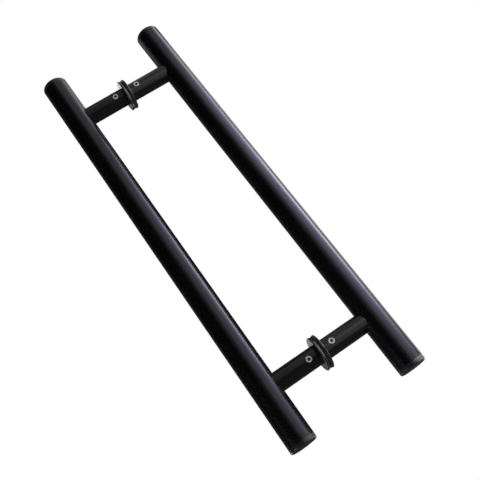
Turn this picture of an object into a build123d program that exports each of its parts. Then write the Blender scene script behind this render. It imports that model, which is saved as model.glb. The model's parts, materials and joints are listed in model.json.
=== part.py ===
from build123d import *
import os
from math import cos, radians, sin, tan

# A back-to-back pair of ladder pull handles, bolted together through the two holes of a door.
# Millimetres. The origin is midway between the two fixings, in the plane where the halves meet.
# X runs across the door, Y through it from the outside to the inside, Z up along the bars.

# Bars
bar_length = 600.0            # tip to tip, end caps included
bar_diameter = 35.0
bar_wall = 2.0
bar_reach = 77.0              # from the meeting plane to the axis of a bar
fixing_centres = 450.0        # between the upper and the lower door hole
seam_chamfer = 0.3            # on the tube's end and on the cap's shoulder

# End caps
cap_rim = 5.5                 # the part of the cap that shows
cap_edge_round = 2.2
cap_plug_length = 16.0
cap_plug_wall = 3.0
cap_plug_clearance = 0.1

# Posts
post_diameter = 25.0
post_wall = 3.5
post_web = 9.0                # solid stock left between the bore and the bar
post_end_chamfer = 0.4
saddle_edge_chamfer = 0.5

# Mounting bosses and gaskets
flange_diameter = 44.0
flange_thickness = 3.5
flange_edge_round = 1.2       # on the side that shows
flange_taper = 18.0           # degrees, of the rim towards the door
gasket_diameter = 42.0
gasket_hole = 12.0
gasket_thickness = 1.0
spigot_length = 22.0
spigot_clearance = 0.1        # radial, in the post's bore
spigot_chamfer = 0.6
groove_depth = 3.0
groove_side_clearance = 0.2   # between the groove and the cone point, on either side
driver_slot_width = 2.0
driver_slot_depth = 2.5

# Joining studs
stud_diameter = 8.0
stud_length = 44.0
stud_chamfer = 0.8
thread_clearance = 0.05       # radial, for every threaded hole drawn without its thread

# Set screws, one across each post
set_screw_diameter = 8.0
set_screw_setback = 12.7      # from the flange's shoulder to the axis of the screw
set_screw_sink = 0.6          # below the crown of the post
set_screw_socket = 4.0        # across the flats
set_screw_socket_depth = 2.5
set_screw_rim_chamfer = 0.4
set_screw_hole_chamfer = 0.4

# Bolts that hold the posts on the bars, and the saddle nuts inside the tubes
bolt_diameter = 8.0
bolt_hole_clearance = 0.25    # radial
bolt_head_diameter = 13.0
bolt_head_height = 8.0
bolt_head_chamfer = 0.6
bolt_socket = 6.0
bolt_socket_depth = 4.0
bolt_tip_chamfer = 0.8
bolt_overrun = 1.0            # past the saddle nut
nut_width = 20.0
nut_length = 24.0
nut_thickness = 8.0

# Each half of the pair, each end of the bars, and how far each set screw is turned off the front
sides = {"outside": -1, "inside": 1}
ends = {"top": 1, "bottom": -1}
set_screw_turns = {
    ("outside", "top"): -4.0,
    ("inside", "top"): 2.0,
    ("outside", "bottom"): -4.0,
    ("inside", "bottom"): 9.0,
}

# Sizes that follow
bar_radius = bar_diameter / 2
tube_bore_radius = bar_radius - bar_wall
tube_length = bar_length - 2 * cap_rim
cap_plug_radius = tube_bore_radius - cap_plug_clearance
post_radius = post_diameter / 2
post_bore_radius = post_radius - post_wall
post_start = gasket_thickness + flange_thickness
bar_face = bar_reach - bar_radius
bore_floor = bar_face - post_web
spigot_radius = post_bore_radius - spigot_clearance
spigot_end = post_start + spigot_length
set_screw_offset = post_start + set_screw_setback
groove_radius = spigot_radius - groove_depth
set_screw_outer = post_radius - set_screw_sink
set_screw_length = set_screw_outer - groove_radius
set_screw_cone = groove_depth
groove_half = set_screw_diameter / 2 - set_screw_cone + groove_side_clearance
threaded_hole_radius = stud_diameter / 2 + thread_clearance
bolt_hole_radius = bolt_diameter / 2 + bolt_hole_clearance
nut_face = bar_reach - tube_bore_radius
nut_back = nut_face + nut_thickness
bolt_length = nut_back + bolt_overrun - bore_floor


def fixing_plane(side, end):
    """The meeting plane at one fixing, looking towards the bar."""
    return Plane(origin=(0, 0, end * fixing_centres / 2), x_dir=(1, 0, 0), z_dir=(0, side, 0))


def fixing_profile(side, end):
    """A plane through the axis of one fixing, with local x outwards and local y towards the bar."""
    return Plane(origin=(0, 0, end * fixing_centres / 2), x_dir=(1, 0, 0), z_dir=(0, 0, side))


def fixing_axis(side, end):
    return Axis((0, 0, end * fixing_centres / 2), (0, side, 0))


def set_screw_plane(side, end, turn):
    """A plane across one set screw, on the axis of the post and looking out along the screw."""
    out = (cos(radians(turn)), 0, sin(radians(turn)))
    return Plane(origin=(0, side * set_screw_offset, end * fixing_centres / 2), x_dir=(0, 1, 0), z_dir=out)


def save(part, label):
    part.label = label
    export_step(part, f"parts/{label}.step")


os.makedirs("parts", exist_ok=True)

for side_name, side in sides.items():
    # The bar is a tube, drilled through its inner wall for the two post bolts.
    with BuildPart() as bar:
        with BuildSketch(Plane.XY.offset(-tube_length / 2)):
            with Locations((0, side * bar_reach)):
                Circle(bar_radius)
                Circle(tube_bore_radius, mode=Mode.SUBTRACT)
        extrude(amount=tube_length)
        rims = bar.edges().filter_by(GeomType.CIRCLE).sort_by(SortBy.RADIUS)[-2:]
        chamfer(rims, seam_chamfer)
        for end in ends.values():
            with BuildSketch(fixing_plane(side, end)):
                Circle(bolt_hole_radius)
            extrude(amount=bar_reach, mode=Mode.SUBTRACT)
    save(bar.part, f"bar_{side_name}")

    for end_name, end in ends.items():
        place = f"{side_name}_{end_name}"
        turn = set_screw_turns[side_name, end_name]
        meeting = fixing_plane(side, end)
        level = end * fixing_centres / 2

        # The end cap is a turned cup: its rim shows, its plug is held in the tube.
        shoulder = Plane(origin=(0, side * bar_reach, end * tube_length / 2), z_dir=(0, 0, end))
        with BuildPart() as cap:
            with BuildSketch(shoulder):
                Circle(bar_radius)
            extrude(amount=cap_rim)
            rims = cap.edges().filter_by(GeomType.CIRCLE).sort_by(Axis.Z, reverse=end < 0)
            fillet(rims[-1], cap_edge_round)
            chamfer(rims[0], seam_chamfer)
            with BuildSketch(shoulder):
                Circle(cap_plug_radius)
            extrude(amount=-cap_plug_length)
            with BuildSketch(shoulder):
                Circle(cap_plug_radius - cap_plug_wall)
            extrude(amount=-cap_plug_length, mode=Mode.SUBTRACT)
        save(cap.part, f"end_cap_{place}")

        # The post is turned stock, coped to sit on the bar and bored for the spigot and the bolt.
        with BuildPart() as post:
            with BuildSketch(meeting.offset(post_start)):
                Circle(post_radius)
            extrude(amount=bar_reach - post_start)
            rims = post.edges().filter_by(GeomType.CIRCLE).sort_by(Axis.Y, reverse=side < 0)
            chamfer(rims[0], post_end_chamfer)
            with BuildSketch(Plane.XY.offset(level - post_diameter)):
                with Locations((0, side * bar_reach)):
                    Circle(bar_radius)
            extrude(amount=2 * post_diameter, mode=Mode.SUBTRACT)
            saddle = post.edges().sort_by(Axis.Y, reverse=side < 0)[-1]
            chamfer(saddle, saddle_edge_chamfer)
            with BuildSketch(meeting.offset(post_start)):
                Circle(post_bore_radius)
            extrude(amount=bore_floor - post_start, mode=Mode.SUBTRACT)
            with BuildSketch(meeting.offset(post_start)):
                Circle(bolt_hole_radius)
            extrude(amount=bar_reach - post_start, mode=Mode.SUBTRACT)
            with BuildSketch(set_screw_plane(side, end, turn)):
                Circle(set_screw_diameter / 2 + thread_clearance)
            extrude(amount=post_diameter, mode=Mode.SUBTRACT)
            out = Axis(set_screw_plane(side, end, turn).origin, set_screw_plane(side, end, turn).z_dir)
            mouth = post.edges().sort_by(out)[-1]
            chamfer(mouth, set_screw_hole_chamfer)
        save(post.part, f"post_{place}")

        # The boss is turned in one piece: a flange whose rim tapers towards the door, and a threaded
        # spigot with a V groove, where the set screw draws the post against the flange.
        with BuildPart() as boss:
            with BuildSketch(fixing_profile(side, end)):
                with BuildLine():
                    crest = CenterArc(
                        (flange_diameter / 2 - flange_edge_round, post_start - flange_edge_round),
                        flange_edge_round,
                        start_angle=-flange_taper,
                        arc_size=90 + flange_taper,
                    )
                    taper_height = (crest @ 0).Y - gasket_thickness
                    Polyline(
                        (threaded_hole_radius, gasket_thickness),
                        ((crest @ 0).X - taper_height * tan(radians(flange_taper)), gasket_thickness),
                        crest @ 0,
                    )
                    Polyline(
                        crest @ 1,
                        (spigot_radius, post_start),
                        (spigot_radius, set_screw_offset - groove_half - groove_depth),
                        (groove_radius, set_screw_offset - groove_half),
                        (groove_radius, set_screw_offset + groove_half),
                        (spigot_radius, set_screw_offset + groove_half + groove_depth),
                        (spigot_radius, spigot_end - spigot_chamfer),
                        (spigot_radius - spigot_chamfer, spigot_end),
                        (threaded_hole_radius, spigot_end),
                        (threaded_hole_radius, gasket_thickness),
                    )
                make_face()
            revolve(axis=fixing_axis(side, end))
            with BuildSketch(meeting.offset(spigot_end)):
                Rectangle(post_diameter, driver_slot_width)
            extrude(amount=-driver_slot_depth, mode=Mode.SUBTRACT)
        save(boss.part, f"boss_{place}")

        with BuildPart() as gasket:
            with BuildSketch(meeting):
                Circle(gasket_diameter / 2)
                Circle(gasket_hole / 2, mode=Mode.SUBTRACT)
            extrude(amount=gasket_thickness)
        save(gasket.part, f"gasket_{place}")

        # The set screw's cone point sits in the groove of the spigot.
        with BuildPart() as set_screw:
            with BuildSketch(set_screw_plane(side, end, turn).offset(groove_radius)):
                Circle(set_screw_diameter / 2)
            extrude(amount=set_screw_length)
            out = Axis(set_screw.part.center(), set_screw_plane(side, end, turn).z_dir)
            rims = set_screw.edges().filter_by(GeomType.CIRCLE).sort_by(out)
            chamfer(rims[0], set_screw_cone)
            chamfer(rims[-1], set_screw_rim_chamfer)
            with BuildSketch(set_screw_plane(side, end, turn).offset(set_screw_outer)):
                RegularPolygon(set_screw_socket / 2, 6, major_radius=False)
            extrude(amount=-set_screw_socket_depth, mode=Mode.SUBTRACT)
        save(set_screw.part, f"set_screw_{place}")

        # The bolt goes in through the post's bore and pulls the post on to the bar.
        with BuildPart() as bolt:
            with BuildSketch(meeting.offset(bore_floor - bolt_head_height)):
                Circle(bolt_head_diameter / 2)
            extrude(amount=bolt_head_height)
            rims = bolt.edges().filter_by(GeomType.CIRCLE).sort_by(Axis.Y, reverse=side < 0)
            chamfer(rims[0], bolt_head_chamfer)
            with BuildSketch(meeting.offset(bore_floor)):
                Circle(bolt_diameter / 2)
            extrude(amount=bolt_length)
            rims = bolt.edges().filter_by(GeomType.CIRCLE).sort_by(Axis.Y, reverse=side < 0)
            chamfer(rims[-1], bolt_tip_chamfer)
            with BuildSketch(meeting.offset(bore_floor - bolt_head_height)):
                RegularPolygon(bolt_socket / 2, 6, major_radius=False)
            extrude(amount=bolt_socket_depth, mode=Mode.SUBTRACT)
        save(bolt.part, f"post_bolt_{place}")

        # The saddle nut fits the inner wall of the tube.
        with BuildPart() as nut:
            with BuildSketch(Plane.XY.offset(level - nut_length / 2)):
                with Locations((0, side * bar_reach)):
                    Circle(tube_bore_radius)
                with Locations((0, side * (nut_face + nut_thickness / 2))):
                    Rectangle(nut_width, nut_thickness, mode=Mode.INTERSECT)
            extrude(amount=nut_length)
            with BuildSketch(meeting.offset(nut_face)):
                Circle(bolt_diameter / 2 + thread_clearance)
            extrude(amount=nut_thickness, mode=Mode.SUBTRACT)
        save(nut.part, f"saddle_nut_{place}")

for end_name, end in ends.items():
    # The stud is screwed into the bosses of both halves.
    with BuildPart() as stud:
        with BuildSketch(fixing_plane(1, end).offset(-stud_length / 2)):
            Circle(stud_diameter / 2)
        extrude(amount=stud_length)
        chamfer(stud.edges().filter_by(GeomType.CIRCLE), stud_chamfer)
    save(stud.part, f"joining_stud_{end_name}")
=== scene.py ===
import json
from math import cos, pi, radians, sin, tan
import bmesh
import bpy
from mathutils import Matrix, Vector

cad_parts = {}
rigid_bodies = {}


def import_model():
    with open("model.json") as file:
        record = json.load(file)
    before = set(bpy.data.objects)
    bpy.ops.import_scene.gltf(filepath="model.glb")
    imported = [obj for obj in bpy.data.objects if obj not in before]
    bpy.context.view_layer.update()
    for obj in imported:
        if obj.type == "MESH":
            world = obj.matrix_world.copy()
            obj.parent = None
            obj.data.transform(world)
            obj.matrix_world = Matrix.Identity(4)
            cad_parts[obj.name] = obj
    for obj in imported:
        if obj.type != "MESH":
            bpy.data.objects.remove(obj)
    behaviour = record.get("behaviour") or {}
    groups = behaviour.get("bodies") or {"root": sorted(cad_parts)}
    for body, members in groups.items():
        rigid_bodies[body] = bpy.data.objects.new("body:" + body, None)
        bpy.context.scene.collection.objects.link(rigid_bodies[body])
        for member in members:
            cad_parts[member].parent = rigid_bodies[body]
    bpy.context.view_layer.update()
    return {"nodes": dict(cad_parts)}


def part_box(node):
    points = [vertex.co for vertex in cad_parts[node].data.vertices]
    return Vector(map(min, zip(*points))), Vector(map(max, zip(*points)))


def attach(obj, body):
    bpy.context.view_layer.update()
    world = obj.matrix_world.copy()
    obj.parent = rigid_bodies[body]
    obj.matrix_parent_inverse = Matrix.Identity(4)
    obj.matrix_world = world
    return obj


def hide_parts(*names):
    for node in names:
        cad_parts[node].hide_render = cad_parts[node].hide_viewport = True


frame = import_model()
print("frame loaded:", len(frame["nodes"]), "nodes")

mm = 0.001
weldGap = 0.002              # mm, points closer than this become one
flatAfter = 3                # a ring this many chamfers past an edge keeps the shading beyond it flat
sides = {"outside": -1, "inside": 1}
ends = {"top": 1, "bottom": -1}
places = [(side, end) for side in sides for end in ends]

# camera, worked out from the handle's outline in the photo
shot = {
    "place": (0.79382, -0.15626, -0.37331),
    "lookAlong": (-0.9109, 0.1842, 0.3693),
    "imageRight": (-0.0586, 0.8280, -0.5576),
    "lens": 51.99,
    "sensor": 36.0,
    "clipStart": 0.01,
}


def makeCamera(s):
    cam = bpy.data.objects.new("camera", bpy.data.cameras.new("camera"))
    bpy.context.scene.collection.objects.link(cam)
    back = -Vector(s["lookAlong"]).normalized()
    right = Vector(s["imageRight"])
    right = (right - back * right.dot(back)).normalized()
    up = back.cross(right)
    cam.matrix_world = Matrix.Translation(s["place"]) @ Matrix((right, up, back)).transposed().to_4x4()
    cam.data.lens = s["lens"]
    cam.data.sensor_width = s["sensor"]
    cam.data.clip_start = s["clipStart"]
    bpy.context.scene.camera = cam


makeCamera(shot)
print("camera done")


# one selected piece at a time, because every CAD node is selected after loading
def deselect():
    if bpy.context.object and bpy.context.object.mode != "OBJECT":
        bpy.ops.object.mode_set(mode="OBJECT")
    bpy.ops.object.select_all(action="DESELECT")


def pick(piece):
    deselect()
    piece.select_set(True)
    bpy.context.view_layer.objects.active = piece


def applyModifier(piece, kind, **settings):
    pick(piece)
    mod = piece.modifiers.new(kind.lower(), kind)
    for key, value in settings.items():
        setattr(mod, key, value)
    bpy.ops.object.modifier_apply(modifier=mod.name)


def applyPlace(piece, matrix):
    piece.matrix_world = matrix
    pick(piece)
    bpy.ops.object.transform_apply(location=True, rotation=True, scale=True)


# stations round an edge, from the side (0 degrees) to the end face (90 degrees)
def arc(centreRadius, centreHeight, radius, steps, start=0, stop=90):
    turns = [radians(start + (stop - start) * i / steps) for i in range(steps + 1)]
    return [(centreRadius + radius * cos(a), centreHeight + radius * sin(a)) for a in turns]


# a turned piece about Z: a ring, extruded and resized from one (radius, height) station to the next
def turnPiece(name, stations, segments, capStart=False, capEnd=False, groups=None):
    deselect()
    radius, height = stations[0]
    bpy.ops.mesh.primitive_circle_add(vertices=segments, radius=radius * mm, location=(0, 0, height * mm))
    piece = bpy.context.object
    piece.name = piece.data.name = name
    bpy.ops.object.transform_apply(location=True, rotation=True, scale=True)
    bpy.ops.object.mode_set(mode="EDIT")
    if capStart:
        bpy.ops.mesh.select_all(action="SELECT")
        bpy.ops.mesh.edge_face_add()
        bpy.ops.mesh.select_all(action="DESELECT")
    bpy.ops.mesh.select_mode(type="EDGE")
    bpy.ops.mesh.select_all(action="SELECT")
    for i, (nextRadius, nextHeight) in enumerate(stations[1:], 1):
        bpy.ops.mesh.extrude_edges_move(TRANSFORM_OT_translate={"value": (0, 0, (nextHeight - height) * mm)})
        share = nextRadius / radius
        bpy.ops.transform.resize(value=(share, share, 1), center_override=(0, 0, 0))
        radius, height = nextRadius, nextHeight
        if piece.vertex_groups:
            bpy.ops.object.vertex_group_remove_from(use_all_groups=True)
        if groups and i in groups:
            bpy.ops.object.vertex_group_assign_new()
            piece.vertex_groups.active.name = groups[i]
    if capEnd:
        bpy.ops.mesh.edge_face_add()
    bpy.ops.mesh.select_mode(type="VERT")
    bpy.ops.mesh.select_all(action="SELECT")
    bpy.ops.mesh.remove_doubles(threshold=weldGap * mm)
    bpy.ops.mesh.normals_make_consistent(inside=False)
    bpy.ops.object.mode_set(mode="OBJECT")
    return piece


def cutAway(piece, tool):
    applyModifier(piece, "BOOLEAN", operation="DIFFERENCE", solver="EXACT", object=tool)
    remove(tool)


def smooth(piece, angle=28):
    pick(piece)
    bpy.ops.object.shade_smooth_by_angle(angle=radians(angle))


# degrees between two faces: from the first the coat lightens a little, and from the second fully; the
# lighter edges are partly rubbed coat and partly a painted highlight
edgeWearAndHighlight = {"blunt": 6, "sharp": 40}


# how much the coat lightens at each point, partly rubbed coat and partly a painted highlight: by the
# sharpest edge there, and by the place when a placing function is given
def markEdges(piece, wearAndHighlightAt=None, least=0):
    low, high = radians(edgeWearAndHighlight["blunt"]), radians(edgeWearAndHighlight["sharp"])
    mesh = bmesh.new()
    mesh.from_mesh(piece.data)
    marks = []
    for v in mesh.verts:
        turn = max([e.calc_face_angle(0) for e in v.link_edges], default=0)
        share = min(max((turn - low) / (high - low), least), 1)
        marks.append(share * wearAndHighlightAt(v.co) if wearAndHighlightAt else share)
    mesh.free()
    wearAndHighlight = piece.data.attributes.new("wearAndHighlight", "FLOAT", "POINT")
    wearAndHighlight.data.foreach_set("value", marks)


def copyTo(piece, name, matrix):
    new = piece.copy()
    new.data = piece.data.copy()
    new.name = new.data.name = name
    bpy.context.scene.collection.objects.link(new)
    applyPlace(new, matrix)
    return new


def remove(piece):
    bpy.data.objects.remove(piece, do_unlink=True)


def paint(piece, material):
    piece.data.materials.clear()
    piece.data.materials.append(material)


# a piece is modelled at the inside top: the other places are half turns from there
def turnTo(side, end):
    aside = Matrix.Rotation(pi if side == "outside" else 0, 4, "Z")
    over = Matrix.Rotation(pi if end == "bottom" else 0, 4, "Y")
    return aside @ over


def checkPlace(piece, node):
    low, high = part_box(node)
    own = [v.co for v in piece.data.vertices]
    gaps = [abs(min(c[i] for c in own) - low[i]) for i in range(3)]
    gaps += [abs(max(c[i] for c in own) - high[i]) for i in range(3)]
    print(f"  {piece.name}: {len(piece.data.polygons)} faces, corners within {max(gaps) / mm:.3f} mm")


def handOver(piece, node, material):
    paint(piece, material)
    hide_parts(node)
    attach(piece, "root")
    checkPlace(piece, node)


# bars: a tube each, chamfered at both ends and drilled for the post bolts
barSizes = {
    "diameter": 35.0,
    "wall": 2.0,
    "length": 589.0,
    "seamChamfer": 0.3,
    "reach": 77.0,           # from the meeting plane to the axis
    "fixings": 450.0,        # between the upper and the lower bolt
    "boltHole": 8.5,
    "boltHoleSegments": 48,
    "segments": 160,
}


def makeBar(s):
    outer, bore = s["diameter"] / 2, s["diameter"] / 2 - s["wall"]
    half, edge = s["length"] / 2, s["seamChamfer"]
    stations = [(bore, -half), (outer - edge, -half), (outer, edge - half), (outer, flatAfter * edge - half)]
    stations += [(outer, half - flatAfter * edge), (outer, half - edge), (outer - edge, half)]
    stations += [(bore, half), (bore, -half)]
    bar = turnPiece("bar", stations, s["segments"])
    applyPlace(bar, Matrix.Translation((0, s["reach"] * mm, 0)))
    return bar


def drillBar(bar, s):
    for end in ends.values():
        deselect()
        bpy.ops.mesh.primitive_cylinder_add(
            vertices=s["boltHoleSegments"], radius=s["boltHole"] / 2 * mm, depth=s["diameter"] / 2 * mm,
            location=(0, (s["reach"] - s["diameter"] / 2) * mm, end * s["fixings"] / 2 * mm),
            rotation=(pi / 2, 0, 0))
        cutAway(bar, bpy.context.object)


barModel = makeBar(barSizes)
print("bars turned")


# seams and cap edges lighten most at the lower ends and on each bar's +Y side, where the key light falls:
# partly rubbed coat, partly a painted highlight
seamWearAndHighlight = {
    "inside": 1.0,
    "outside": 0.35,
    "upper": 0.15,           # the upper ends, as a share of the lower
    "least": 0.04,
    "shift": 0.2,            # on the bar's middle line
    "gain": 2.4,             # from there towards +Y, the side the key light comes from
    "capSideHighlight": 0.22,         # at least this share on the smooth side of a cap: a painted highlight on its lit side, partly wear
}


def seamWearAndHighlightAt(place):
    side = "inside" if place.y > 0 else "outside"
    towardsLitSide = (place.y - sides[side] * barSizes["reach"] * mm) / (barSizes["diameter"] / 2 * mm)
    share = min(max(seamWearAndHighlight["shift"] + seamWearAndHighlight["gain"] * towardsLitSide, seamWearAndHighlight["least"]), 1)
    return share * seamWearAndHighlight[side] * (1 if place.z < 0 else seamWearAndHighlight["upper"])


# end caps: the rim shows, the hollow plug sits in the tube
capSizes = {
    "rim": 5.5,
    "edgeRound": 2.2,
    "plugClearance": 0.1,
    "plugWall": 3.0,
    "plugLength": 16.0,
    "roundSteps": 10,
    "segments": 160,
}


def makeCap(s, bar):
    outer, edge = bar["diameter"] / 2, bar["seamChamfer"]
    plug = outer - bar["wall"] - s["plugClearance"]
    hollow, turn = plug - s["plugWall"], s["edgeRound"]
    stations = [(hollow, 0), (hollow, -s["plugLength"]), (plug, -s["plugLength"]), (plug, 0)]
    stations += [(outer - edge, 0), (outer, edge), (outer, flatAfter * edge)]
    stations += arc(outer - turn, s["rim"] - turn, turn, s["roundSteps"])
    stations += [(outer - turn - flatAfter * edge, s["rim"])]
    cap = turnPiece("cap", stations, s["segments"], capStart=True, capEnd=True)
    applyPlace(cap, Matrix.Translation((0, bar["reach"] * mm, bar["length"] / 2 * mm)))
    return cap


capModel = makeCap(capSizes, barSizes)
print("end caps turned")


# where a piece that is turned about Z goes at the inside top, with its axis across the door
throughDoor = Matrix.Translation((0, 0, barSizes["fixings"] / 2 * mm)) @ Matrix.Rotation(-pi / 2, 4, "X")

# posts: coped to sit on the bar, bored for the spigot and for the post bolt
postSizes = {
    "diameter": 25.0,
    "start": 4.5,            # where the flange ends
    "endChamfer": 0.4,
    "saddleChamfer": 0.5,
    "bore": 18.0,
    "boreFloor": 50.5,
    "boltHole": 8.5,
    "rings": (9.0, 11.8, 14.5, 17.2, 19.9, 22.6, 26.0, 33.0, 41.0, 49.0, 56.0),
    "collarGap": 1.0,        # between the last two rings of the side, before they are laid on the bar
    "segments": 144,
}


# the last four rings are laid on the bar, then the outer two are drawn back for the saddle's chamfer
def makePost(s, bar, barModel):
    outer, start, edge = s["diameter"] / 2, s["start"], s["endChamfer"]
    clear = bar["reach"] - bar["diameter"] / 2 - 2 * s["saddleChamfer"]
    bore, bolt = s["bore"] / 2, s["boltHole"] / 2
    stations = [(outer - edge, start), (outer, start + edge), (outer, start + flatAfter * edge)]
    stations += [(outer, height) for height in s["rings"]]
    names = {len(stations) + i: name for i, name in enumerate(("collar", "crown", "seat", "mouth"))}
    stations += [(outer, clear - s["collarGap"]), (outer, clear)]
    stations += [(outer - s["saddleChamfer"], clear), (bolt, clear)]
    stations += [(bolt, s["boreFloor"]), (bore, s["boreFloor"]), (bore, start), (outer - edge, start)]
    post = turnPiece("post", stations, s["segments"], groups=names)
    applyPlace(post, throughDoor)
    for group in names.values():
        applyModifier(post, "SHRINKWRAP", target=barModel, wrap_method="PROJECT", use_project_y=True,
                      use_positive_direction=True, vertex_group=group)
    for group, share in (("crown", 1), ("collar", flatAfter)):
        bpy.ops.object.mode_set(mode="EDIT")
        bpy.ops.mesh.select_all(action="DESELECT")
        post.vertex_groups.active_index = post.vertex_groups[group].index
        bpy.ops.object.vertex_group_select()
        bpy.ops.transform.translate(value=(0, -share * s["saddleChamfer"] * mm, 0))
        bpy.ops.object.mode_set(mode="OBJECT")
    post.vertex_groups.clear()
    return post


postModel = makePost(postSizes, barSizes, barModel)
print("posts turned and coped")


# set screws and the holes that they sit in
screwSizes = {
    "diameter": 8.0,
    "alongPost": 17.2,       # from the meeting plane to the screw's axis
    "tip": 5.9,              # from the post's axis
    "face": 11.9,
    "cone": 3.0,
    "rimChamfer": 0.4,
    "faceRing": 0.6,         # in from the side, to keep the face's shading flat
    "holeClearance": 0.05,
    "holeChamfer": 0.4,
    "socket": 4.0,           # across the flats
    "socketDepth": 2.5,
    "pointInset": 0.12,
    "drillPoint": 0.7,       # below the socket
    "pointSpare": 1.0,       # the socket's faces are found down to here below its depth
    "faceSpare": 0.02,       # and up to here below the face
    "drillInwards": 6.0,     # how far the hole's tool goes from the middle of the post's wall
    "drillOutwards": 4.0,    # and past the post's side
    "segments": 96,
    "turns": {               # degrees round the post from straight in front
        ("outside", "top"): -4,
        ("inside", "top"): 2,
        ("outside", "bottom"): -4,
        ("inside", "bottom"): 9,
    },
}


def screwFrame(side, end):
    turn = radians(screwSizes["turns"][side, end])
    out, across = Vector((cos(turn), 0, sin(turn))), Vector((0, 1, 0))
    axes = Matrix((across, out.cross(across), out)).transposed().to_4x4()
    level = ends[end] * barSizes["fixings"] / 2
    return Matrix.Translation((0, sides[side] * screwSizes["alongPost"] * mm, level * mm)) @ axes


def makeScrewTool(s, post, matrix):
    hole, flare = s["diameter"] / 2 + s["holeClearance"], s["holeChamfer"]
    inWall = (post["bore"] / 2 + post["diameter"] / 2) / 2
    stations = [(hole, inWall - s["drillInwards"]), (hole, inWall)]
    stations += [(hole + flare, inWall), (hole + 2 * flare, inWall)]
    stations += [(hole + 2 * flare, post["diameter"] / 2 + s["drillOutwards"])]
    names = {1: "lower", 2: "middle", 3: "upper"}
    tool = turnPiece("tool", stations, s["segments"], capStart=True, capEnd=True, groups=names)
    tool.matrix_world = matrix
    return tool


# the tool's three rings follow the post's side, so the hole's chamfer is even all round
def layFlare(tool, post, flare):
    for group in ("lower", "middle", "upper"):
        applyModifier(tool, "SHRINKWRAP", target=post, wrap_method="PROJECT", use_project_z=True,
                      use_positive_direction=True, vertex_group=group)
    for group, shift in (("lower", -flare), ("upper", flare)):
        index = tool.vertex_groups[group].index
        for v in tool.data.vertices:
            if any(g.group == index for g in v.groups):
                v.co.z += shift * mm


def makeScrew(s):
    outer, edge = s["diameter"] / 2, s["rimChamfer"]
    stations = [(outer - s["cone"], s["tip"]), (outer, s["tip"] + s["cone"]), (outer, s["face"] - edge)]
    stations += [(outer - edge, s["face"]), (outer - s["faceRing"], s["face"])]
    screw = turnPiece("screw", stations, s["segments"], capStart=True, capEnd=True)
    deselect()
    bpy.ops.mesh.primitive_cylinder_add(vertices=6, radius=s["socket"] / 2 / cos(pi / 6) * mm,
                                        depth=2 * s["socketDepth"] * mm, location=(0, 0, s["face"] * mm))
    hexTool = bpy.context.object
    bpy.ops.object.mode_set(mode="EDIT")
    mesh = bmesh.from_edit_mesh(hexTool.data)
    for face in mesh.faces:
        face.select = face.normal.z < -0.9
    bmesh.update_edit_mesh(hexTool.data)
    bpy.ops.mesh.inset(thickness=s["pointInset"] * mm)
    bpy.ops.mesh.poke(offset=s["drillPoint"] * mm)
    bpy.ops.object.mode_set(mode="OBJECT")
    cutAway(screw, hexTool)
    sunk = screw.data.attributes.new("sunk", "FLOAT", "CORNER")    # the socket is painted darker: partly dirt, partly painted shade in the recess
    lowest, highest = s["face"] - s["socketDepth"] - s["pointSpare"], s["face"] - s["faceSpare"]
    for face in screw.data.polygons:
        fromAxis = Vector(face.center[:2]).length / mm
        inSocket = fromAxis < s["socket"] / 2 and lowest < face.center.z / mm < highest
        for corner in face.loop_indices:
            sunk.data[corner].value = 1 if inSocket else 0
    return screw


screwModel = makeScrew(screwSizes)
print("set screws turned")


# bosses: the flange against the door, and a spigot with a V groove for the set screw
bossSizes = {
    "start": 1.0,
    "flange": 44.0,
    "flangeThickness": 3.5,
    "edgeRound": 1.2,
    "faceRing": 1.68,        # in from the rim, to keep the face's shading flat
    "taper": 18,             # degrees, of the rim towards the door
    "spigot": 17.8,
    "spigotEnd": 26.5,
    "spigotChamfer": 0.6,
    "groove": 17.2,
    "grooveHalf": 1.2,
    "grooveDepth": 3.0,
    "threadedHole": 8.1,
    "slotWidth": 2.0,
    "slotDepth": 2.5,
    "roundSteps": 10,
    "segments": 160,
}


def makeBoss(s):
    rim, start, end = s["flange"] / 2, s["start"], s["start"] + s["flangeThickness"]
    spigot, hole, turn = s["spigot"] / 2, s["threadedHole"] / 2, s["edgeRound"]
    half, depth, edge = s["grooveHalf"], s["grooveDepth"], s["spigotChamfer"]
    crest = arc(rim - turn, end - turn, turn, s["roundSteps"], -s["taper"])
    stations = [(hole, start), (crest[0][0] - (crest[0][1] - start) * tan(radians(s["taper"])), start)]
    stations += crest
    stations += [(rim - s["faceRing"], end), (spigot, end), (spigot, s["groove"] - half - depth)]
    stations += [(spigot - depth, s["groove"] - half), (spigot - depth, s["groove"] + half)]
    stations += [(spigot, s["groove"] + half + depth), (spigot, s["spigotEnd"] - edge)]
    stations += [(spigot - edge, s["spigotEnd"]), (hole, s["spigotEnd"]), (hole, start)]
    boss = turnPiece("boss", stations, s["segments"])
    deselect()
    bpy.ops.mesh.primitive_cube_add(size=1, location=(0, 0, s["spigotEnd"] * mm))
    slotTool = bpy.context.object
    bpy.ops.transform.resize(value=(s["flange"] * mm, s["slotWidth"] * mm, 2 * s["slotDepth"] * mm))
    cutAway(boss, slotTool)
    return boss


bossModel = makeBoss(bossSizes)
print("bosses turned")


# gaskets: thin rubber rings between the flanges and the door
gasketSizes = {
    "diameter": 42.0,
    "hole": 12.0,
    "thickness": 1.0,
    "edgeRound": 0.25,
    "roundSteps": 3,
    "smoothAngle": 40,
    "segments": 144,
}


def makeGasket(s):
    rim, hole, thick, turn = s["diameter"] / 2, s["hole"] / 2, s["thickness"], s["edgeRound"]
    stations = [(hole, 0), (rim - turn, 0)] + arc(rim - turn, turn, turn, s["roundSteps"], -90, 0)[1:]
    stations += arc(rim - turn, thick - turn, turn, s["roundSteps"]) + [(hole, thick), (hole, 0)]
    return turnPiece("gasket", stations, s["segments"])


gasketModel = makeGasket(gasketSizes)
print("gaskets turned")


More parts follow.
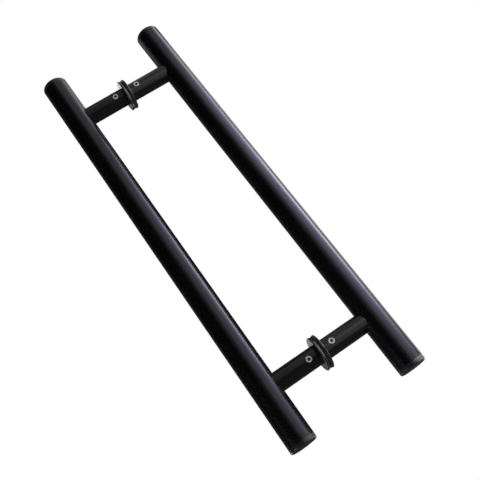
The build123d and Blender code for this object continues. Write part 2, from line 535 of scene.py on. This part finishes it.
# shader trees
class Wire:
    # the output of a node, with the arithmetic that adds Math nodes
    def __init__(self, tree, socket):
        self.tree, self.socket = tree, socket

    def maths(self, operation, first, second):
        return self.tree.node("ShaderNodeMath", {"operation": operation}, {0: first, 1: second})

    def __add__(self, other):
        return self.maths("ADD", self, other)

    def __radd__(self, other):
        return self.maths("ADD", other, self)

    def __sub__(self, other):
        return self.maths("SUBTRACT", self, other)

    def __rsub__(self, other):
        return self.maths("SUBTRACT", other, self)

    def __mul__(self, other):
        return self.maths("MULTIPLY", self, other)

    def __rmul__(self, other):
        return self.maths("MULTIPLY", other, self)


class Tree:
    def __init__(self, owner):
        owner.use_nodes = True
        self.nodes, self.links = owner.node_tree.nodes, owner.node_tree.links
        self.nodes.clear()

    def node(self, kind, settings=None, values=None, output=0):
        made = self.nodes.new(kind)
        for key, value in (settings or {}).items():
            setattr(made, key, value)
        for key, value in (values or {}).items():
            if isinstance(value, Wire):
                self.links.new(value.socket, made.inputs[key])
            else:
                made.inputs[key].default_value = value
        return Wire(self, made.outputs[output]) if made.outputs else made

    def smoothStep(self, wire, low, high):
        return self.node("ShaderNodeMapRange", {"interpolation_type": "SMOOTHSTEP"},
                         {0: wire, 1: low, 2: high, 3: 0.0, 4: 1.0})

    def mixColour(self, share, first, second):
        return self.node("ShaderNodeMix", {"data_type": "RGBA"}, {0: share, 6: first, 7: second}, output=2)

    def noise(self, place, scale, detail=2.0):
        return self.node("ShaderNodeTexNoise", None, {"Vector": place, "Scale": scale, "Detail": detail})


# satin coat on the bars, caps, posts and flanges: near black, with a fine orange peel, and lighter edges
# that are partly rubbed coat and partly a painted highlight
coats = {
    "bar_coat": {"dark": (0.0026, 0.0026, 0.0031, 1), "light": (0.0042, 0.0042, 0.0050, 1),
                 "wearAndHighlightColour": (0.26, 0.24, 0.21, 1), "roughness": 0.27},
    "cap_coat": {"dark": (0.0150, 0.0135, 0.0125, 1), "light": (0.0240, 0.0210, 0.0195, 1),
                 "wearAndHighlightColour": (0.50, 0.48, 0.41, 1), "roughness": 0.30},
    "post_coat": {"dark": (0.0026, 0.0022, 0.0018, 1), "light": (0.0042, 0.0036, 0.0030, 1),
                  "wearAndHighlightColour": (0.032, 0.030, 0.028, 1), "roughness": 0.31},
    "boss_coat": {"dark": (0.0050, 0.0048, 0.0052, 1), "light": (0.0080, 0.0076, 0.0080, 1),
                  "wearAndHighlightColour": (0.035, 0.033, 0.034, 1), "roughness": 0.30, "index": 1.8},
}
coatPattern = {
    "drift": 14.0,           # broad changes of tone and gloss, features per metre
    "driftDetail": 3.0,
    "peel": 620.0,           # orange peel
    "peelDetail": 1.5,
    "grain": 3800.0,         # powder grain
    "toneFrom": 0.3,         # where the drift goes from the dark tone to the light one
    "toneTo": 0.7,
    "wearAndHighlightGrain": 0.25,        # how much the grain breaks up the lighter edges, partly wear and partly painted highlight
    "wearAndHighlightFrom": 0.35,
    "wearAndHighlightTo": 0.75,
    "glossDrift": 0.05,
    "glossGrain": 0.02,
    "peelStrength": 0.03,
    "peelHeight": 0.00006,
    "grainStrength": 0.08,
    "grainHeight": 0.000008,
}


def makeCoat(name, c, p):
    material = bpy.data.materials.new(name)
    tree = Tree(material)
    place = tree.node("ShaderNodeTexCoord", output=3)
    drift = tree.noise(place, p["drift"], p["driftDetail"])
    peel = tree.noise(place, p["peel"], p["peelDetail"])
    grain = tree.noise(place, p["grain"])
    # lighter edges and seams: partly rubbed coat, partly a painted highlight where the key light falls
    edge = tree.node("ShaderNodeAttribute", {"attribute_name": "wearAndHighlight"}, output=2)
    wearAndHighlight = edge * tree.smoothStep(drift + grain * p["wearAndHighlightGrain"], p["wearAndHighlightFrom"], p["wearAndHighlightTo"])
    tone = tree.mixColour(tree.smoothStep(drift, p["toneFrom"], p["toneTo"]), c["dark"], c["light"])
    colour = tree.mixColour(wearAndHighlight, tone, c["wearAndHighlightColour"])
    roughness = c["roughness"] + (drift - 0.5) * p["glossDrift"] + (grain - 0.5) * p["glossGrain"]
    peelBump = tree.node("ShaderNodeBump", None, {
        "Strength": p["peelStrength"], "Distance": p["peelHeight"], "Height": peel})
    bump = tree.node("ShaderNodeBump", None, {
        "Strength": p["grainStrength"], "Distance": p["grainHeight"], "Height": grain, "Normal": peelBump})
    shader = tree.node("ShaderNodeBsdfPrincipled", None, {
        "Base Color": colour, "Roughness": roughness, "Normal": bump, "IOR": c.get("index", 1.5)})
    tree.node("ShaderNodeOutputMaterial", None, {"Surface": shader})
    return material


materials = {name: makeCoat(name, c, coatPattern) for name, c in coats.items()}


# gasket rubber: matt, with a fine moulded grain
rubber = {
    "dark": (0.010, 0.010, 0.010, 1),
    "light": (0.020, 0.019, 0.019, 1),
    "roughness": 0.78,
    "glossDrift": 0.1,
    "drift": 60.0,
    "grain": 2600.0,
    "grainStrength": 0.6,
    "grainHeight": 0.00003,
}


def makeRubber(r):
    material = bpy.data.materials.new("gasket_rubber")
    tree = Tree(material)
    place = tree.node("ShaderNodeTexCoord", output=3)
    drift, grain = tree.noise(place, r["drift"]), tree.noise(place, r["grain"])
    colour = tree.mixColour(drift, r["dark"], r["light"])
    roughness = r["roughness"] + (drift - 0.5) * r["glossDrift"]
    bump = tree.node("ShaderNodeBump", None, {
        "Strength": r["grainStrength"], "Distance": r["grainHeight"], "Height": grain})
    shader = tree.node("ShaderNodeBsdfPrincipled", None, {
        "Base Color": colour, "Roughness": roughness, "Normal": bump})
    tree.node("ShaderNodeOutputMaterial", None, {"Surface": shader})
    return material


materials["gasket_rubber"] = makeRubber(rubber)


# turned steel: rings about the piece's own axis, faint stains, and a socket painted darker, partly dirt and
# partly painted shade
steels = {
    "set_screw_steel": {"bright": (0.92, 0.91, 0.78, 1), "dull": (0.70, 0.69, 0.58, 1),
                        "socket": (0.34, 0.33, 0.28, 1), "roughness": 0.40},
    "bolt_steel": {"bright": (0.10, 0.10, 0.10, 1), "dull": (0.055, 0.055, 0.058, 1),
                   "socket": (0.03, 0.03, 0.03, 1), "roughness": 0.38},
    "nut_steel": {"bright": (0.58, 0.58, 0.55, 1), "dull": (0.44, 0.44, 0.40, 1),
                  "socket": (0.20, 0.20, 0.18, 1), "roughness": 0.36},
    "stud_steel": {"bright": (0.60, 0.60, 0.57, 1), "dull": (0.46, 0.45, 0.42, 1),
                   "socket": (0.20, 0.20, 0.18, 1), "roughness": 0.34},
}
steelPattern = {
    "rings": 210.0,          # marks of the lathe
    "ringWobble": 0.4,
    "ringDetail": 1.0,
    "ringStrength": 0.4,
    "ringHeight": 0.000006,
    "stain": 240.0,
    "stainDetail": 3.0,
    "stainFrom": 0.35,
    "stainTo": 0.7,
    "glossStain": 0.15,
    "glossRing": 0.05,
    "glossSocket": 0.2,
}


def makeSteel(name, c, p, matrix):
    material = bpy.data.materials.new(name)
    tree = Tree(material)
    place = tree.node("ShaderNodeTexCoord", output=3)
    own = matrix.inverted()
    local = tree.node("ShaderNodeMapping", None, {
        "Vector": place, "Location": own.to_translation(), "Rotation": own.to_euler()})
    rings = tree.node("ShaderNodeTexWave", {"wave_type": "RINGS", "rings_direction": "Z"}, {
        "Vector": local, "Scale": p["rings"], "Distortion": p["ringWobble"],
        "Detail": p["ringDetail"]}, output=1)
    stain = tree.noise(place, p["stain"], p["stainDetail"])
    # the socket painted darker: partly dirt, partly painted shade in the recess
    sunk = tree.node("ShaderNodeAttribute", {"attribute_name": "sunk"}, output=2)
    turned = tree.mixColour(tree.smoothStep(stain, p["stainFrom"], p["stainTo"]), c["bright"], c["dull"])
    colour = tree.mixColour(sunk, turned, c["socket"])
    roughness = c["roughness"] + (stain - 0.5) * p["glossStain"]
    roughness = roughness + rings * p["glossRing"] + sunk * p["glossSocket"]
    bump = tree.node("ShaderNodeBump", None, {
        "Strength": p["ringStrength"], "Distance": p["ringHeight"], "Height": rings})
    shader = tree.node("ShaderNodeBsdfPrincipled", None, {
        "Base Color": colour, "Metallic": 1.0, "Roughness": roughness, "Normal": bump})
    tree.node("ShaderNodeOutputMaterial", None, {"Surface": shader})
    return material


print("materials made")

# every piece to its places
drilledBar = copyTo(barModel, "drilled_bar", Matrix())
drillBar(drilledBar, barSizes)
for side in sides:
    bar = copyTo(drilledBar, f"tube_{side}", turnTo(side, "top"))
    smooth(bar)
    markEdges(bar, seamWearAndHighlightAt)
    handOver(bar, f"bar_{side}", materials["bar_coat"])

for side, end in places:
    place, here, atScrew = f"{side}_{end}", turnTo(side, end), screwFrame(side, end)

    cap = copyTo(capModel, f"cap_{place}", here)
    smooth(cap)
    # the cap's smooth side is lightened too, most on its lit side: partly wear, partly a painted highlight
    markEdges(cap, seamWearAndHighlightAt, seamWearAndHighlight["capSideHighlight"])
    handOver(cap, f"end_cap_{place}", materials["cap_coat"])

    post = copyTo(postModel, f"coped_post_{place}", here)
    tool = makeScrewTool(screwSizes, postSizes, atScrew)
    layFlare(tool, post, screwSizes["holeChamfer"])
    cutAway(post, tool)
    smooth(post)
    markEdges(post)
    handOver(post, f"post_{place}", materials["post_coat"])

    boss = copyTo(bossModel, f"flanged_boss_{place}", here @ throughDoor)
    smooth(boss)
    markEdges(boss)
    handOver(boss, f"boss_{place}", materials["boss_coat"])

    gasket = copyTo(gasketModel, f"rubber_gasket_{place}", here @ throughDoor)
    smooth(gasket, gasketSizes["smoothAngle"])
    handOver(gasket, f"gasket_{place}", materials["gasket_rubber"])

    screw = copyTo(screwModel, f"socket_set_screw_{place}", atScrew)
    smooth(screw)
    steel = makeSteel(f"set_screw_steel_{place}", steels["set_screw_steel"], steelPattern, atScrew)
    handOver(screw, f"set_screw_{place}", steel)

    # the hidden bolts and nuts stay as the frame has them
    for node, kind in ((f"post_bolt_{place}", "bolt_steel"), (f"saddle_nut_{place}", "nut_steel")):
        steel = makeSteel(f"{kind}_{place}", steels[kind], steelPattern, here @ throughDoor)
        paint(frame["nodes"][node], steel)

for end in ends:
    middle = Matrix.Translation((0, 0, ends[end] * barSizes["fixings"] / 2 * mm))
    steel = makeSteel(f"stud_steel_{end}", steels["stud_steel"], steelPattern,
                      middle @ Matrix.Rotation(pi / 2, 4, "X"))
    paint(frame["nodes"][f"joining_stud_{end}"], steel)

for model in (barModel, drilledBar, capModel, postModel, screwModel, bossModel, gasketModel):
    remove(model)
print("pieces placed")


# floor, a door pull's usual height below the middle of the handle
floorSizes = {
    "drop": 1.05,
    "radius": 4.0,
    "segments": 96,
    "colour": (0.16, 0.16, 0.16, 1),
    "speck": (0.14, 0.14, 0.14, 1),
    "specks": 30.0,
    "speckDetail": 3.0,
    "roughness": 0.9,
    "pale": (0.86, 0.86, 0.86, 1),       # what the camera sees on top of the lamps' light
    "shown": 0.04,                       # the share of it that gloss shows
}


def makeFloor(s):
    deselect()
    bpy.ops.mesh.primitive_circle_add(vertices=s["segments"], radius=s["radius"], fill_type="NGON",
                                      location=(0, 0, -s["drop"]))
    floor = bpy.context.object
    floor.name = "floor"
    bpy.ops.object.transform_apply(location=True, rotation=True, scale=True)
    material = bpy.data.materials.new("floor_paint")
    tree = Tree(material)
    place = tree.node("ShaderNodeTexCoord", output=3)
    colour = tree.mixColour(tree.noise(place, s["specks"], s["speckDetail"]), s["colour"], s["speck"])
    camera, glossy, transmitted = [tree.node("ShaderNodeLightPath", output=i) for i in (0, 3, 6)]
    glow = tree.mixColour(camera + (glossy + transmitted) * s["shown"], (0, 0, 0, 1), s["pale"])
    shader = tree.node("ShaderNodeBsdfPrincipled", None, {
        "Base Color": colour, "Roughness": s["roughness"], "Emission Color": glow, "Emission Strength": 1.0})
    tree.node("ShaderNodeOutputMaterial", None, {"Surface": shader})
    paint(floor, material)


makeFloor(floorSizes)

# studio: a soft key beside the inside bar with a dimmer surround, a broad fill in front, weak lamps low down
# for the undersides, and a white backdrop; a lamp with "lights" or "misses" reaches only some of the pieces;
# angles in degrees round from +X and up, sizes in metres, power in watts
insideBar, outsideBar = ("tube_inside", "cap_inside"), ("tube_outside", "cap_outside")
lamps = {
    # the key and what surrounds it, which shape the bars
    "key": {"azimuth": 86, "elevation": 16, "width": 0.55, "height": 0.62, "power": 6.0,
            "colour": (0.91, 0.90, 1.0)},
    "tallKey": {"azimuth": 84, "elevation": 24, "width": 0.54, "height": 1.45, "power": 11.0,
                "colour": (0.86, 0.86, 1.0), "misses": outsideBar},
    "outsideKey": {"azimuth": 90, "elevation": 25, "width": 0.54, "height": 1.10, "power": 7.6,
                   "colour": (0.86, 0.86, 1.0), "lights": outsideBar},
    "outsideTop": {"azimuth": 105, "elevation": 51, "width": 1.30, "height": 0.40, "power": 1.9,
                   "colour": (0.90, 0.88, 1.0), "lights": outsideBar},
    "surround": {"azimuth": 68, "elevation": 14, "width": 0.90, "height": 1.30, "power": 8.3,
                 "colour": (0.63, 0.62, 1.0), "misses": ("flanged_boss",)},
    "insideFill": {"azimuth": 46, "elevation": 20, "width": 1.10, "height": 1.20, "power": 4.8,
                   "colour": (0.62, 0.61, 1.0), "lights": insideBar},
    "spill": {"azimuth": 128, "elevation": 17, "width": 1.25, "height": 1.65, "power": 7.8,
              "colour": (0.95, 0.95, 1.0), "lights": insideBar},
    "topEdge": {"azimuth": -130, "elevation": 54, "width": 0.90, "height": 0.40, "power": 0.8,
                "colour": (1.0, 0.94, 0.90), "lights": insideBar},
    # broad and weak, from the front and from above
    "fill": {"azimuth": 34, "elevation": 10, "width": 1.20, "height": 1.60, "power": 6.2,
             "colour": (0.80, 0.79, 1.0)},
    "warmEdge": {"azimuth": 2, "elevation": 16, "width": 0.50, "height": 1.20, "power": 0.5,
                 "colour": (1.0, 0.86, 0.72)},
    "upperFill": {"azimuth": 35, "elevation": 58, "width": 1.20, "height": 1.10, "power": 2.4,
                  "colour": (0.90, 0.90, 1.0)},
    "overhead": {"azimuth": 130, "elevation": 80, "width": 0.90, "height": 0.90, "power": 1.4,
                 "colour": (0.97, 0.96, 1.0), "misses": ("coped_post_outside",)},
    # posts and flanges
    "insidePosts": {"azimuth": 15, "elevation": 4, "width": 0.80, "height": 1.00, "power": 1.5,
                    "colour": (1.0, 0.97, 1.0), "lights": ("coped_post_inside",)},
    "lowPosts": {"azimuth": 18, "elevation": -38, "width": 0.80, "height": 0.90, "power": 2.2,
                 "colour": (1.0, 0.90, 0.86), "lights": ("coped_post_inside",)},
    "rims": {"azimuth": 42, "elevation": 12, "width": 1.50, "height": 1.30, "power": 5.0,
             "colour": (1.0, 0.98, 0.94), "lights": ("flanged_boss",)},
    "innerRims": {"azimuth": 6, "elevation": 20, "width": 0.60, "height": 1.30, "power": 2.6,
                  "colour": (0.96, 0.88, 1.0), "lights": ("flanged_boss_inside",)},
    "upperFaces": {"azimuth": -164, "elevation": 52, "width": 0.50, "height": 0.50, "power": 2.2,
                   "colour": (1.0, 1.0, 0.97),
                   "lights": ("flanged_boss_outside_top", "flanged_boss_inside_top")},
    "lowerFaces": {"azimuth": -164, "elevation": 14, "width": 0.50, "height": 0.60, "power": 1.2,
                   "colour": (1.0, 0.97, 0.97),
                   "lights": ("flanged_boss_outside_bottom", "flanged_boss_inside_bottom")},
    # low down
    "lowInside": {"azimuth": 68, "elevation": -28, "width": 1.30, "height": 0.95, "power": 7.0,
                  "colour": (1.0, 0.95, 0.90)},
    "lowKey": {"azimuth": 98, "elevation": -20, "width": 0.60, "height": 0.35, "power": 4.6,
               "colour": (1.0, 0.96, 0.88)},
    "lowOutside": {"azimuth": -76, "elevation": -26, "width": 0.70, "height": 0.50, "power": 3.0,
                   "colour": (0.92, 0.92, 1.0)},
    "lowBehind": {"azimuth": 140, "elevation": -20, "width": 0.60, "height": 0.50, "power": 2.8,
                  "colour": (0.92, 0.92, 1.0)},
    "lowBack": {"azimuth": -140, "elevation": -20, "width": 0.60, "height": 0.50, "power": 2.8,
                "colour": (0.92, 0.92, 1.0)},
}
lampDistance = 1.6           # metres from the middle of the handle
backdrop = {
    "white": (1, 1, 1, 1),
    "dim": 0.01,             # light from all round
    "behind": 0.08,          # and behind the handle
    "shown": 0.04,           # and this much more of it in gloss
    "outside": (-90, -5),    # where it fades in, and out again, degrees round from straight behind
    "inside": (50, 0),
    "horizon": (-0.08, 0.14),
}


def makeLamp(name, s):
    lamp = bpy.data.lights.new(name, "AREA")
    lamp.shape, lamp.size, lamp.size_y = "RECTANGLE", s["width"], s["height"]
    lamp.energy, lamp.color = s["power"], s["colour"]
    azimuth, elevation = radians(s["azimuth"]), radians(s["elevation"])
    towards = Vector((cos(azimuth) * cos(elevation), sin(azimuth) * cos(elevation), sin(elevation)))
    holder = bpy.data.objects.new(name, lamp)
    holder.visible_camera = False
    bpy.context.scene.collection.objects.link(holder)
    holder.matrix_world = (Matrix.Translation(towards * lampDistance)
                           @ towards.to_track_quat("Z", "Y").to_matrix().to_4x4())
    if "lights" in s or "misses" in s:
        lit = bpy.data.collections.new(f"lit_by_{name}")
        for piece in bpy.context.scene.objects:
            if piece.type == "MESH" and piece.name.startswith(s.get("lights", "")):
                if not piece.name.startswith(s.get("misses", ())):
                    lit.objects.link(piece)
        holder.light_linking.receiver_collection = lit


# white wherever the camera looks; behind the handle it also lights and shows in gloss
def makeWorld(s):
    world = bpy.data.worlds.new("studio")
    bpy.context.scene.world = world
    tree = Tree(world)
    place = tree.node("ShaderNodeTexCoord", output=0)
    x, y, z = [tree.node("ShaderNodeSeparateXYZ", None, {0: place}, output=i) for i in range(3)]
    turn = tree.node("ShaderNodeMath", {"operation": "ARCTAN2"}, {0: y, 1: x * -1.0}) * (180 / pi)
    behind = tree.smoothStep(turn, *s["outside"]) * tree.smoothStep(turn, *s["inside"])
    behind = behind * tree.smoothStep(z, *s["horizon"])
    camera, glossy, transmitted = [tree.node("ShaderNodeLightPath", output=i) for i in (0, 3, 6)]
    light = behind * (s["behind"] + (glossy + transmitted) * s["shown"]) + s["dim"]
    background = tree.node("ShaderNodeBackground", None, {
        "Color": s["white"], "Strength": camera + (1 - camera) * light})
    tree.node("ShaderNodeOutputWorld", None, {"Surface": background})


for name, s in lamps.items():
    makeLamp(name, s)
makeWorld(backdrop)
bpy.context.scene.view_settings.view_transform = "Standard"
print("studio done")
